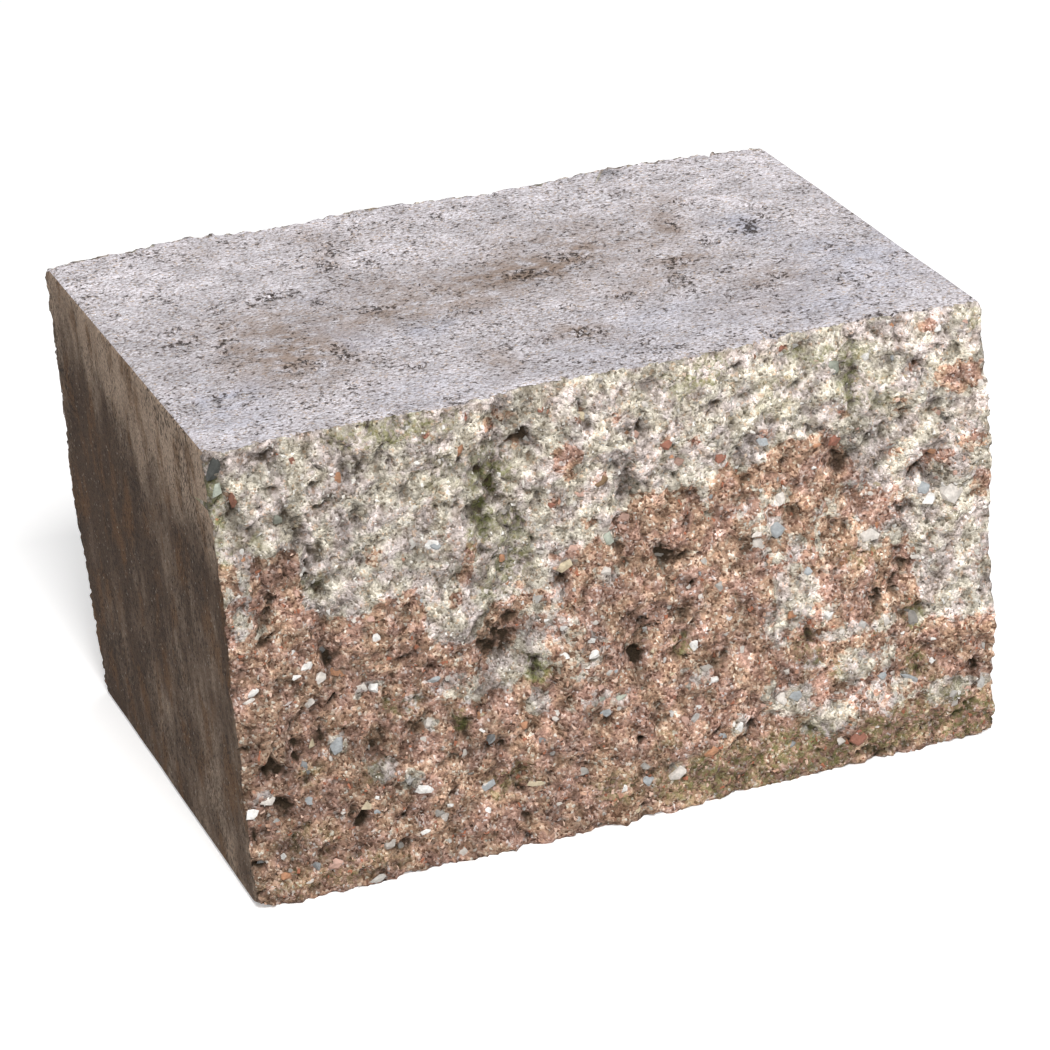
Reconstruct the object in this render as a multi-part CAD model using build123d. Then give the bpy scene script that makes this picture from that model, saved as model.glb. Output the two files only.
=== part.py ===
from build123d import *
from collections import namedtuple
import math
import os

# Split-face wall block: one piece of cast concrete, in millimetres.
# The top, the underside and the two ends were pressed in a steel mould, so they are flat
# and their edges have a small rounding. The cured slab was then cleaved along both long
# sides, so the front and the back are split faces that bulge, dip and run out at the corners.
# X runs along the block, Y from the front split face to the back one, and Z is up.
# The origin is in the middle of the underside.

# Moulded body
LENGTH = 300.0          # between the moulded ends
DEPTH = 210.0           # between the mean planes of the two split faces
HEIGHT = 178.0          # from the underside to the top
ARRIS_RADIUS = 1.5      # rounding of the moulded edges

# Cleaving
GRID_STEP = 6.0         # spacing of the points that a split face passes through
FACE_TOLERANCE = 0.1    # how far a split face may stray from its points
FAIRING = (1.0, 0.3, 0.1)   # weights of its length, its bending and its change of bending
OVERRUN = 12.0          # how far the cleavage runs on past the block on every side

# A form is one hollow or hump of a split face. Its place is given as shares of the length
# and the height, its reach and its stand in millimetres. A positive stand is out of the block.
Form = namedtuple("Form", "along up reach_along reach_up stand")

# A wave is one of the long swells that the crack left on its way through the slab.
Wave = namedtuple("Wave", "length heading height phase")

# A split face has a stand at each of its four corners, swells, and hollows and humps.
SplitFace = namedtuple("SplitFace", "side low_left low_right top_left top_right waves forms")

# A chip is a piece broken off one corner of a split face: which end of the block it is at,
# whether it is at the foot or the head, and how far it reaches along, across and up from there.
Chip = namedtuple("Chip", "face end upright along across up")
LEFT = -1
RIGHT = 1
FOOT = 0
HEAD = 1
LUMP_SIZE = 3.0         # size of the lump that a chip takes away, as a multiple of its reach

CONCRETE = (0.62, 0.52, 0.46)

FRONT = SplitFace(
    side=-1,
    low_left=7.5,
    low_right=-0.5,
    top_left=-0.5,
    top_right=-2.0,
    waves=[
        Wave(length=92.0, heading=24.0, height=0.8, phase=40.0),
        Wave(length=56.0, heading=-58.0, height=1.0, phase=200.0),
    ],
    forms=[
        # swelling of the right-hand end, highest above the middle
        Form(along=1.00, up=0.74, reach_along=34.0, reach_up=34.0, stand=7.5),
        Form(along=1.00, up=0.30, reach_along=44.0, reach_up=42.0, stand=4.5),
        # broad hump of the grey part at the upper left
        Form(along=0.17, up=0.70, reach_along=38.0, reach_up=40.0, stand=2.6),
        # upright trough that parts the left third from the rest
        Form(along=0.37, up=0.74, reach_along=10.0, reach_up=46.0, stand=-4.2),
        Form(along=0.385, up=0.36, reach_along=11.0, reach_up=17.0, stand=-2.6),
        # belly of the lower half
        Form(along=0.52, up=0.24, reach_along=70.0, reach_up=38.0, stand=3.4),
        # shelf under the arch at the right, with the deep pocket at its end
        Form(along=0.70, up=0.66, reach_along=34.0, reach_up=16.0, stand=-2.4),
        Form(along=0.81, up=0.72, reach_along=9.0, reach_up=9.0, stand=-3.4),
        # grey lip above the arch
        Form(along=0.62, up=0.87, reach_along=44.0, reach_up=13.0, stand=2.0),
        # groove below the top edge at the right
        Form(along=0.83, up=0.88, reach_along=9.0, reach_up=12.0, stand=-2.6),
        # slanting hollow between the two humps of the right-hand end
        Form(along=0.87, up=0.50, reach_along=12.0, reach_up=26.0, stand=-3.0),
        Form(along=0.88, up=0.20, reach_along=12.0, reach_up=11.0, stand=-3.4),
        # hollow in the red part at the lower left
        Form(along=0.14, up=0.44, reach_along=16.0, reach_up=22.0, stand=-3.0),
        Form(along=0.30, up=0.42, reach_along=18.0, reach_up=11.0, stand=-1.8),
        # dip at the foot of the face
        Form(along=0.72, up=0.04, reach_along=60.0, reach_up=12.0, stand=-1.8),
        # hollows where lumps came away, from left to right
        Form(along=0.053, up=0.65, reach_along=9.0, reach_up=13.0, stand=-2.4),
        Form(along=0.113, up=0.76, reach_along=10.0, reach_up=9.0, stand=-1.8),
        Form(along=0.123, up=0.56, reach_along=9.0, reach_up=12.0, stand=-2.4),
        Form(along=0.075, up=0.38, reach_along=10.0, reach_up=10.0, stand=-2.2),
        Form(along=0.21, up=0.90, reach_along=9.0, reach_up=8.0, stand=-2.0),
        Form(along=0.347, up=0.16, reach_along=9.0, reach_up=8.0, stand=-2.0),
        Form(along=0.527, up=0.41, reach_along=10.0, reach_up=11.0, stand=-2.4),
        Form(along=0.54, up=0.20, reach_along=11.0, reach_up=10.0, stand=-2.2),
        Form(along=0.557, up=0.61, reach_along=10.0, reach_up=10.0, stand=-2.2),
        Form(along=0.74, up=0.34, reach_along=9.0, reach_up=9.0, stand=-1.8),
        Form(along=0.79, up=0.55, reach_along=9.0, reach_up=10.0, stand=-2.2),
        Form(along=0.89, up=0.78, reach_along=9.0, reach_up=8.0, stand=-1.8),
        # lumps left standing between them
        Form(along=0.28, up=0.53, reach_along=15.0, reach_up=11.0, stand=1.8),
        Form(along=0.17, up=0.25, reach_along=12.0, reach_up=10.0, stand=1.6),
        Form(along=0.46, up=0.85, reach_along=13.0, reach_up=12.0, stand=1.6),
        Form(along=0.45, up=0.42, reach_along=12.0, reach_up=12.0, stand=1.6),
        Form(along=0.70, up=0.45, reach_along=13.0, reach_up=18.0, stand=1.8),
        Form(along=0.807, up=0.23, reach_along=11.0, reach_up=9.0, stand=2.2),
        Form(along=0.94, up=0.39, reach_along=13.0, reach_up=14.0, stand=1.8),
    ],
)

BACK = SplitFace(
    side=1,
    low_left=-5.0,
    low_right=-1.0,
    top_left=15.0,
    top_right=-3.0,
    waves=[
        Wave(length=84.0, heading=-31.0, height=0.9, phase=120.0),
        Wave(length=56.0, heading=47.0, height=1.0, phase=15.0),
    ],
    forms=[
        # belly of the left-hand end
        Form(along=0.00, up=0.46, reach_along=70.0, reach_up=62.0, stand=8.0),
        # swelling of the top edge, right of its middle
        Form(along=0.84, up=1.00, reach_along=48.0, reach_up=44.0, stand=5.0),
        Form(along=0.42, up=0.96, reach_along=52.0, reach_up=30.0, stand=2.0),
        # hollow and hump of the lower half
        Form(along=0.58, up=0.36, reach_along=46.0, reach_up=30.0, stand=-3.6),
        Form(along=0.30, up=0.18, reach_along=34.0, reach_up=24.0, stand=3.0),
        Form(along=0.86, up=0.30, reach_along=30.0, reach_up=34.0, stand=3.4),
        # grooves where stones were torn out along the crack
        Form(along=0.47, up=0.68, reach_along=11.0, reach_up=24.0, stand=-3.2),
        Form(along=0.72, up=0.62, reach_along=20.0, reach_up=9.0, stand=-2.6),
        Form(along=0.16, up=0.74, reach_along=13.0, reach_up=11.0, stand=-2.8),
        # swelling of the top edge, left of its middle
        Form(along=0.26, up=1.00, reach_along=62.0, reach_up=26.0, stand=2.4),
        # hollows where lumps came away
        Form(along=0.35, up=0.42, reach_along=9.0, reach_up=11.0, stand=-2.4),
        Form(along=0.12, up=0.34, reach_along=10.0, reach_up=8.0, stand=-2.2),
        Form(along=0.93, up=0.72, reach_along=9.0, reach_up=9.0, stand=-2.2),
        Form(along=0.62, up=0.14, reach_along=11.0, reach_up=8.0, stand=-2.0),
        Form(along=0.60, up=0.84, reach_along=10.0, reach_up=11.0, stand=-2.4),
        # lumps left standing
        Form(along=0.24, up=0.60, reach_along=12.0, reach_up=13.0, stand=2.2),
        Form(along=0.68, up=0.46, reach_along=13.0, reach_up=11.0, stand=2.0),
        Form(along=0.48, up=0.22, reach_along=12.0, reach_up=12.0, stand=2.0),
        Form(along=0.80, up=0.10, reach_along=14.0, reach_up=10.0, stand=1.8),
    ],
)

CHIPS = [
    Chip(face=FRONT, end=LEFT, upright=HEAD, along=7.0, across=6.0, up=24.0),
    Chip(face=FRONT, end=LEFT, upright=FOOT, along=10.0, across=8.0, up=4.0),
    Chip(face=FRONT, end=RIGHT, upright=FOOT, along=8.0, across=5.0, up=4.5),
    Chip(face=BACK, end=LEFT, upright=HEAD, along=5.0, across=4.0, up=4.5),
    Chip(face=BACK, end=RIGHT, upright=HEAD, along=5.0, across=5.0, up=5.0),
]


def stand_of(face, x, z):
    """How far a split face stands out of its mean plane at one place."""
    along = x / LENGTH + 0.5
    up = z / HEIGHT
    foot = face.low_left * (1 - along) + face.low_right * along
    head = face.top_left * (1 - along) + face.top_right * along
    stand = foot * (1 - up) + head * up
    for wave in face.waves:
        heading = math.radians(wave.heading)
        travel = x * math.cos(heading) + z * math.sin(heading)
        turn = 2 * math.pi * travel / wave.length + math.radians(wave.phase)
        stand += wave.height * math.sin(turn)
    for form in face.forms:
        offset_along = (along - form.along) * LENGTH / form.reach_along
        offset_up = (up - form.up) * HEIGHT / form.reach_up
        stand += form.stand * math.exp(-offset_along ** 2 - offset_up ** 2)
    return stand


def depth_of(face, x, z):
    """The Y of a split face at one place."""
    return face.side * (DEPTH / 2 + stand_of(face, x, z))


def spaced(start, end):
    """Evenly spaced values from start to end, about a grid step apart."""
    steps = math.ceil((end - start) / GRID_STEP)
    return [start + (end - start) * i / steps for i in range(steps + 1)]


def cleavage(face):
    """The surface along which the slab broke, running on past the block on every side."""
    columns = spaced(-LENGTH / 2 - OVERRUN, LENGTH / 2 + OVERRUN)
    rows = spaced(-OVERRUN, HEIGHT + OVERRUN)
    points = [[(x, depth_of(face, x, z), z) for z in rows] for x in columns]
    return Face.make_surface_from_array_of_points(
        points, tol=FACE_TOLERANCE, smoothing=FAIRING, min_deg=3, max_deg=5)


def waste(face, slab_depth):
    """What fell away outside a split face, out to beyond the edge of the slab."""
    return extrude(cleavage(face), amount=slab_depth, dir=(0, face.side, 0))


def slab():
    """The moulded slab before it was cleaved, with its four long arrises rounded."""
    furthest = 0.0
    for face in (FRONT, BACK):
        for x in spaced(-LENGTH / 2, LENGTH / 2):
            for z in spaced(0.0, HEIGHT):
                furthest = max(furthest, stand_of(face, x, z))
    slab_depth = DEPTH + 2 * (furthest + OVERRUN)
    body = Box(LENGTH, slab_depth, HEIGHT, align=(Align.CENTER, Align.CENTER, Align.MIN))
    body = fillet(body.edges().filter_by(Axis.Y), ARRIS_RADIUS)
    return body, slab_depth


def broken_corner(chip):
    """The lump to take off one corner: all that lies beyond the plane of the break."""
    corner_x = chip.end * LENGTH / 2
    corner_z = chip.upright * HEIGHT
    corner = Vector(corner_x, depth_of(chip.face, corner_x, corner_z), corner_z)
    upward = 1 if chip.upright == FOOT else -1
    along = corner - Vector(chip.end * chip.along, 0, 0)
    across = corner - Vector(0, chip.face.side * chip.across, 0)
    up = corner + Vector(0, 0, upward * chip.up)
    outward = (across - along).cross(up - along)
    if outward.dot(corner - along) < 0:
        outward = outward * -1
    middle = (along + across + up) / 3
    size = LUMP_SIZE * max(chip.along, chip.across, chip.up)
    break_plane = Plane(origin=middle, z_dir=outward)
    return break_plane * Box(size, size, size, align=(Align.CENTER, Align.CENTER, Align.MIN))


def wall_block():
    """The whole block: the slab, cleaved on both long sides, with its chipped corners."""
    body, slab_depth = slab()
    for face in (FRONT, BACK):
        body = body - waste(face, slab_depth)
    for chip in CHIPS:
        body = body - broken_corner(chip)
    return body.solid()


block = wall_block()
block.label = "wall_block"
block.color = Color(*CONCRETE)
os.makedirs("parts", exist_ok=True)
export_step(block, "parts/wall_block.step")
extent = block.bounding_box()
print(f"wall_block: valid {block.is_valid}, {block.volume / 1e6:.3f} litres")
print(f"front to back {extent.min.Y:.1f} to {extent.max.Y:.1f}")
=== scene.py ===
import math
import random
from collections import namedtuple

import bmesh
import bpy
import numpy as np
from mathutils import Matrix, Vector, noise
from mathutils.bvhtree import BVHTree


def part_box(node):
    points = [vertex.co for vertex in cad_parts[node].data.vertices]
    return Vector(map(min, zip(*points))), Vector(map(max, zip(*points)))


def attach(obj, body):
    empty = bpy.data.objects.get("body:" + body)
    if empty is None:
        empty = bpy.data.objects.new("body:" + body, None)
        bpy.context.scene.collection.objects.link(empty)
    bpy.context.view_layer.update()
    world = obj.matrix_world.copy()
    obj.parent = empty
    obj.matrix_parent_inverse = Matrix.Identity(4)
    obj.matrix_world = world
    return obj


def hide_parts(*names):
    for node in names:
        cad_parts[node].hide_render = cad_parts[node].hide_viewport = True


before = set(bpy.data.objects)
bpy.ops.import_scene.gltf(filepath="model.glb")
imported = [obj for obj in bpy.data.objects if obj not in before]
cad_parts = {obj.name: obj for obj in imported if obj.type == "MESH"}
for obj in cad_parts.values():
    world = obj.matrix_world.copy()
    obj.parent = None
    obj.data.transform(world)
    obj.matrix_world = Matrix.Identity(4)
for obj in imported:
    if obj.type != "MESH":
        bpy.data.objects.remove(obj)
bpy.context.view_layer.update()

# Camera
# The photograph looks a little down on the block from beyond its left-hand front corner, with
# a long lens held slightly off level.

MM = 0.001
CAMERA_PLACE = Vector((-513.0, -1567.0, 777.0)) * MM
CAMERA_AIM = Vector((-0.2, -3.6, 80.9)) * MM
CAMERA_ROLL = math.radians(-4.6)
LENS = 157.55


def linked(name, data):
    """An object of that name in the scene."""
    made = bpy.data.objects.new(name, data)
    bpy.context.scene.collection.objects.link(made)
    return made


camera = linked("camera", bpy.data.cameras.new("camera"))
camera.data.lens = LENS
looking = (CAMERA_AIM - CAMERA_PLACE).to_track_quat("-Z", "Y").to_matrix()
turned = looking @ Matrix.Rotation(CAMERA_ROLL, 3, "Z")
camera.matrix_world = Matrix.Translation(CAMERA_PLACE) @ turned.to_4x4()
bpy.context.scene.camera = camera

# The block's shape
# One casting of coarse concrete. It was pressed flat on its top, underside and ends, and its
# front and back were split off, so they are broken through mortar and stones alike.

SKIN_STEP = 1.0 * MM            # spacing of the points of the skin before it is thinned
SKIN_FACES = 194000             # triangles left after it is thinned
RIM = 6.0 * MM                  # how far in from a broken face the moulded faces give way
SAME_CORNER = 0.01 * MM         # corners nearer than this are one
BROKEN_LEAN = 0.15              # a face that leans more than this to the front or back is broken
BROKEN_FACING = 0.3             # the same for a point of the fine skin
ON_BREAK = 0.5 * MM             # a point this near a broken face lies on it
TOP_FACING = 0.5                # a moulded point that looks up more than this is on the top

# Sizes, rises and depths of the relief, in millimetres
SWELL_SIZE, SWELL_RISE = 24.0, 1.2
ROUGH_SIZE, ROUGH_RISE = 8.0, 1.9
ROUGH_OCTAVES, ROUGH_STEP, ROUGH_FADE = 5, 2.0, 0.55  # each is finer by the step, and fainter
CLUMP_SIZE, CLUMP_RISE = 7.0, 3.0
CLUMP_OCTAVES = 3
CLUMP_MIDDLE, CLUMP_TOP = 0.45, 0.8  # level that counts as no rise, and where clumps end flat
SOCKET_SIZE, SOCKET_DEPTH = 4.2, 1.3
SOCKET_SHARE = 0.07             # share of the stones that have left an empty bed
SOCKET_EDGE = 0.4               # how far in from its edge a bed has its full depth
LOT_SCALE = 9.7                 # sets the lots of neighbouring stones apart
HOLLOW_SHARE = 0.85             # depth of each hollow of the front for its noted depth
HOLLOW_SPREAD = 1.25            # its size for its noted size
HOLLOW_SOFTNESS = 0.85          # share of its size over which it fades, either side of its edge
UPRIGHT = 0.75                  # width of the clumps for their height
RAGGED_SIZE, RAGGED = 5.5, 3.4
FRAYED_SIZE, FRAYED = 1.9, 0.9
SUNK_RANGE = 3.6                # depth of the fine relief that counts as fully sunk
PIT_SIZE, PIT_DEPTH = 3.0, 1.2
PIT_RIM, PIT_FLOOR = 0.3, 0.55  # levels of the noise where a pit starts and is at its deepest
PIT_CROWDING = 0.2              # how much more of the noise becomes pits in a pitted spot
PITTED_SOFTNESS = 0.4
PITTED_FULL = 0.3               # how pitted a place must be for pits of full depth
DIP_SIZE, DIP_DEPTH = 38.0, 0.25
DIP_LEVEL = 0.5                 # level of the noise that is no dip
CRUMB_SIZE, CRUMB_DEPTH = 4.6, 1.0
CRUMB_FULL = 0.5                # level of the noise where an edge is worn fully
CRUMB_FALL = 3                  # how sharply the wear ends away from the broken faces
SHIFT = Vector((31.0, 17.0, 53.0))  # sets one noise apart from another
NOISE_SEED = 7                  # without a seed, the vector noise would differ from run to run
noise.seed_set(NOISE_SEED)

# An oval is a spot on one side of the block: where it is along the side and up it, its half
# width and half height, and how much there is of what it marks.
Oval = namedtuple("Oval", "across up half_width half_height amount")

# Hollows of the front where a stone or a lump came away, with their depths
HOLLOWS = [Oval(*spot) for spot in (
    (-142, 157, 3, 7, 3), (-130, 172, 2, 2, 2), (-124, 168, 1.5, 2, 1), (-135, 143, 2, 3, 1.5),
    (-121, 146, 3.5, 4, 2), (-120, 138, 3, 2.5, 2), (-115, 133, 2, 3, 2), (-118, 128, 2, 3, 1.5),
    (-134, 118, 2, 8, 2.6), (-137, 134, 1.5, 4, 1.5), (-126, 131, 3, 5, 1.5),
    (-107, 128, 1.2, 1.5, 1.5), (-112, 116, 3, 6, 2.2), (-104, 113, 3, 2, 1.6),
    (-95, 131, 1.6, 4, 2), (-92, 120, 2.5, 1.5, 1.2), (-71, 133, 2.5, 2.5, 2),
    (-72, 127, 2, 3, 1.5), (-87, 163, 6, 3.5, 2), (-94, 147, 3.5, 3, 1.5), (-86, 147, 2, 4, 1.5),
    (-114, 163, 2, 3, 1), (-109, 155, 3, 6, 1.2), (-54, 157, 2.5, 3, 1.5), (-51, 133, 3.5, 6, 3),
    (-66, 107, 2, 2, 1.2), (-62, 161, 2, 2.5, 1), (-114, 103, 2.5, 8, 2.6), (-134, 99, 2, 5, 2),
    (-147, 91, 3, 2.5, 1.5), (-112, 86, 3, 6, 2.2), (-120, 74, 2, 4, 2), (-129, 68, 2.5, 5, 2.6),
    (-118, 66, 2, 5, 2), (-144, 72, 4, 2, 1.2), (-138, 54, 3, 6, 1.5), (-119, 58, 1.5, 4, 1.5),
    (-127, 53, 3.5, 6, 1.8), (-136, 41, 2.5, 4, 2), (-147, 24, 3.5, 5, 2.2),
    (-109, 25, 2.5, 3.5, 1.5), (-91, 26, 2, 4, 1.8), (-93, 14, 2, 3, 1.5), (-99, 55, 2, 4, 1.6),
    (-65, 55, 3, 3, 1.6), (-84, 61, 4, 4, 1), (-52, 27, 3, 4, 1.2), (-87, 67, 3, 3, 1.2),
    (-51, 82, 3, 4, 1.6), (-31, 162, 4, 6, 2.6), (-28, 157, 2, 3, 1.6), (-45, 148, 7, 8, 2.2),
    (-37, 127, 4, 4, 2), (-32, 116, 3, 4, 2.5), (-41, 118, 2, 4, 1.5), (-37, 170, 4, 2, 1.2),
    (-30, 153, 2, 2, 1.3), (-7, 143, 1.5, 3, 2), (-8, 164, 1.5, 4, 1.5), (8, 134, 2.5, 4, 2.6),
    (13, 157, 2, 5, 2), (5, 152, 2, 2.5, 1.2), (27, 131, 4, 2, 1.3), (3, 103, 3, 6, 1.8),
    (17, 108, 4, 4, 2.2), (19, 101, 4, 4, 1.8), (22, 122, 2.5, 5, 1.3), (33, 115, 2.5, 6, 1.6),
    (5, 117, 1.5, 3, 1.2), (-42, 94, 4, 5, 2), (-22, 101, 2.5, 4, 1.6), (28, 92, 4, 4, 1.6),
    (-53, 90, 4, 3, 1.5), (-46, 83, 4, 5, 2), (-34.5, 69, 3, 5, 3), (-41, 78, 2, 5, 1.5),
    (8, 75, 4, 4, 2.6), (3, 83, 2, 7, 1.8), (6, 66, 2.5, 4, 2), (23, 66, 3, 4, 2.6),
    (25, 80, 6, 2.5, 1.6), (9, 55, 2, 2, 1.6), (38, 57, 3, 4, 1.5), (12, 42, 3, 6, 1.8),
    (-7, 36, 4, 5, 1.6), (-14, 26, 3, 2, 1.6), (36, 32, 3, 6, 1.6), (-46, 32, 4, 2.5, 2),
    (-46, 25, 4, 2.5, 2), (-43, 4, 3, 2.5, 2), (-6, 18, 4, 4, 1.4), (47, 25, 3, 2.5, 3),
    (98, 155, 3, 7, 2.6), (101, 167, 2, 5, 1.5), (54, 157, 3, 3, 1.5), (74, 157, 2.5, 2.5, 1.2),
    (121, 157, 2, 2, 2), (95, 125, 4.5, 4.5, 3.4), (117, 138, 2.5, 3, 2), (107, 134, 3, 4, 1.6),
    (113, 143, 3, 3, 1.5), (133, 142, 2.5, 3, 1.6), (112, 158, 2, 3, 1.2), (142, 151, 4, 3, 1.8),
    (104, 117, 2.5, 2, 1.5), (122, 115, 3, 3, 1.5), (117, 104, 3, 5, 2), (129, 107, 2, 4, 1.8),
    (124, 95, 2, 2, 1.5), (93, 105, 2.5, 2, 1.5), (87, 96, 4, 6, 2), (74, 108, 3, 4, 1.6),
    (113, 93, 3, 3, 1.8), (52, 170, 2, 2, 1.3), (51, 98, 3, 4, 1.5), (113, 76, 3, 8, 2.6),
    (106, 78, 2, 1.5, 2), (104, 66, 2.5, 3, 1.8), (92, 66, 3, 3, 1.5), (116, 57, 3, 6, 2.2),
    (74, 62, 3, 5, 1.8), (69, 56, 3, 3, 1.5), (147, 62, 3, 5, 2), (117, 36, 3, 5, 2.5),
    (99, 34, 3, 2, 1.5), (122, 47, 2, 3, 1.5), (141, 30, 5, 3, 1.6), (133, 18, 3, 3, 1.5),
    (84, 83, 3, 1.5, 1.2), (83, 42, 3, 3, 1.2), (88, 36, 2, 4, 1), (50, 86, 2, 3, 1.5),
)]

# Groups of open pits in the top
PITTED = [Oval(*spot) for spot in (
    (-112, 113, 4, 2.5, 1), (-117, 105, 3, 1.5, 0.6), (-125, 24, 4, 3, 0.7), (-126, 8, 5, 5, 1),
    (-80, 40, 7, 5, 0.9), (-105, 37, 2, 6, 0.8), (-113, 57, 2, 6, 0.7), (-50, 103, 3, 3, 0.7),
    (-47, 85, 3, 16, 0.6), (-26, 101, 2, 5, 0.7), (-52, 60, 5, 8, 0.8), (-36, 56, 5, 6, 0.7),
    (-27, 65, 2, 3, 0.7), (-68, 24, 3, 5, 0.8), (-28, 22, 4, 3, 0.6), (5, 93, 2, 5, 0.8),
    (66, 90, 3, 3, 1), (76, 79, 3, 2, 0.6), (25, 105, 2, 2, 0.5), (96, 57, 6, 5, 0.8),
    (82, 34, 3, 8, 1), (107, 14, 5, 10, 0.9), (117, 21, 2, 2, 0.7), (133, 40, 2, 4, 0.8),
    (12, 9, 11, 5, 1), (33, 20, 8, 14, 0.6), (50, 24, 3, 3, 0.7), (88, 8, 5, 4, 0.8),
    (118, 37, 4, 4, 0.6), (-48, 3, 6, 5, 1), (-75, -32, 5, 9, 1), (-125, -53, 6, 3, 0.9),
    (-140, -55, 3, 2, 0.7), (-112, -5, 5, 8, 0.7), (-92, -42, 9, 8, 0.6), (-57, -62, 4, 4, 0.9),
    (-45, -54, 8, 5, 0.6), (-10, -60, 8, 5, 0.8), (-96, -98, 2, 2.5, 0.8), (-75, -82, 2, 2, 0.7),
    (-58, -98, 3, 2, 0.6), (11, -59, 6, 6, 1.2), (57, -28, 3, 2, 1), (81, -26, 2, 3, 0.9),
    (101, -30, 2, 3, 0.9), (125, -26, 3, 2.5, 1), (68, -10, 8, 6, 0.9), (86, -48, 5, 7, 0.9),
    (86, -60, 2, 3, 1), (115, -56, 3, 4, 0.7), (71, -55, 2, 5, 0.8), (71, -98, 4, 3, 1),
    (33, -92, 8, 2, 1), (90, -85, 3, 3, 0.6), (14, -32, 4, 3, 0.7), (108, -102, 12, 3, 0.7),
    (-22, -14, 12, 8, 0.5), (50, -3, 2, 2, 0.8), (40, -34, 8, 5, 0.5), (62, -42, 7, 4, 0.5),
    (95, -42, 4, 4, 0.7),
)]


def smooth_step(low, high, value):
    """0 below low, 1 above high, and an even curve between."""
    share = np.clip((value - low) / (high - low), 0.0, 1.0)
    return share * share * (3 - 2 * share)


def reach(oval, across, up):
    """How far each place is from an oval's middle: 1 on its edge."""
    return np.hypot((across - oval.across) / oval.half_width, (up - oval.up) / oval.half_height)


def most_of(ovals, across, up, soft, spread=1.0):
    """The most that any of the ovals gives each place, once they are spread out by a factor."""
    value = np.zeros(len(across))
    for oval in ovals:
        inside = 1.0 - smooth_step(1.0 - soft, 1.0 + soft, reach(oval, across, up) / spread)
        value = np.maximum(value, oval.amount * inside)
    return value


def sampled(places, size, sample=noise.noise):
    """The values of a noise with patches of that size at each of many places."""
    return np.array([sample(Vector(place) / size) for place in places])


def rough_sample(place):
    """Rough ground: noise with finer and finer noise on it."""
    return noise.fractal(place, ROUGH_FADE, ROUGH_STEP, ROUGH_OCTAVES)


def clump_sample(place):
    """Rounded clumps with creases between them, and smaller ones on them."""
    return noise.turbulence(place, CLUMP_OCTAVES, True, noise_basis="PERLIN_ORIGINAL")


def socket_sample(place):
    """How far inside a stone's bed a place lies, and that stone's lot, from 0 to 1."""
    distances, centres = noise.voronoi(place)
    return distances[1] - distances[0], 0.5 + 0.5 * noise.cell(centres[0] * LOT_SCALE)


def broken_relief(places):
    """How far broken concrete stands out at each place, and how deep it is sunk there."""
    swell = SWELL_RISE * sampled(places, SWELL_SIZE)
    rough = ROUGH_RISE * sampled(places, ROUGH_SIZE, rough_sample)
    ragged = places + RAGGED * sampled(places, RAGGED_SIZE, noise.noise_vector)
    ragged += FRAYED * sampled(places, FRAYED_SIZE, noise.noise_vector)
    upright = ragged * np.array((1.0, 1.0, UPRIGHT))
    clump = sampled(upright, CLUMP_SIZE, clump_sample)
    clump = CLUMP_RISE * (np.minimum(clump, CLUMP_TOP) - CLUMP_MIDDLE)
    inside, lot = sampled(upright, SOCKET_SIZE, socket_sample).T
    socket = SOCKET_DEPTH * smooth_step(0.0, SOCKET_EDGE, inside) * (lot < SOCKET_SHARE)
    hollow = most_of(HOLLOWS, ragged[:, 0], ragged[:, 2], HOLLOW_SOFTNESS, HOLLOW_SPREAD)
    in_front = ragged[:, 1] < 0
    fine = rough + clump - socket - HOLLOW_SHARE * hollow * in_front
    return swell + fine - fine.mean(), np.maximum(0.0, -fine)


def pressed_relief(places, upward):
    """How far a pressed face stands out at each place: slight dips and open pits."""
    dip = DIP_DEPTH * (sampled(places, DIP_SIZE) - DIP_LEVEL)
    crowd = most_of(PITTED, places[:, 0], places[:, 1], PITTED_SOFTNESS) * upward
    level = sampled(places, PIT_SIZE, rough_sample) + PIT_CROWDING * crowd
    pit = PIT_DEPTH * smooth_step(PIT_RIM, PIT_FLOOR, level) * smooth_step(0.0, PITTED_FULL, crowd)
    return dip - pit


def new_piece(name, bm):
    """A piece with that mesh, in the scene."""
    mesh = bpy.data.meshes.new(name)
    bm.to_mesh(mesh)
    bm.free()
    return linked(name, mesh)


def apply_modifiers(piece):
    """Gives a piece the mesh that its modifiers make, and takes them off."""
    graph = bpy.context.evaluated_depsgraph_get()
    made = bpy.data.meshes.new_from_object(piece.evaluated_get(graph))
    piece.modifiers.clear()
    piece.data = made


def vectors(source, what):
    """The vectors of that name of each entry of a mesh's list, as an array."""
    values = np.empty(len(source) * 3)
    source.foreach_get(what, values)
    return values.reshape(-1, 3)


def store(mesh, name, values):
    """Stores a value for each point of a mesh."""
    layer = mesh.attributes.new(name, "FLOAT", "POINT")
    layer.data.foreach_set("value", values)


# The plain solid is meshed finely, and then the points of its skin move: those of the broken
# faces along the block's depth, and those of the pressed ones square to their face.
casting = bmesh.new()
casting.from_mesh(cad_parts["wall_block"].data)
bmesh.ops.remove_doubles(casting, verts=casting.verts, dist=SAME_CORNER)
casting.normal_update()
plain_corners = [v.co.copy() for v in casting.verts]
broken_faces = [[v.index for v in f.verts] for f in casting.faces if abs(f.normal.y) > BROKEN_LEAN]
broken_skin = BVHTree.FromPolygons(plain_corners, broken_faces)
block = new_piece("split_block", casting)

remesh = block.modifiers.new("fine_skin", "REMESH")
remesh.mode = "VOXEL"
remesh.voxel_size = SKIN_STEP
apply_modifiers(block)

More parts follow.
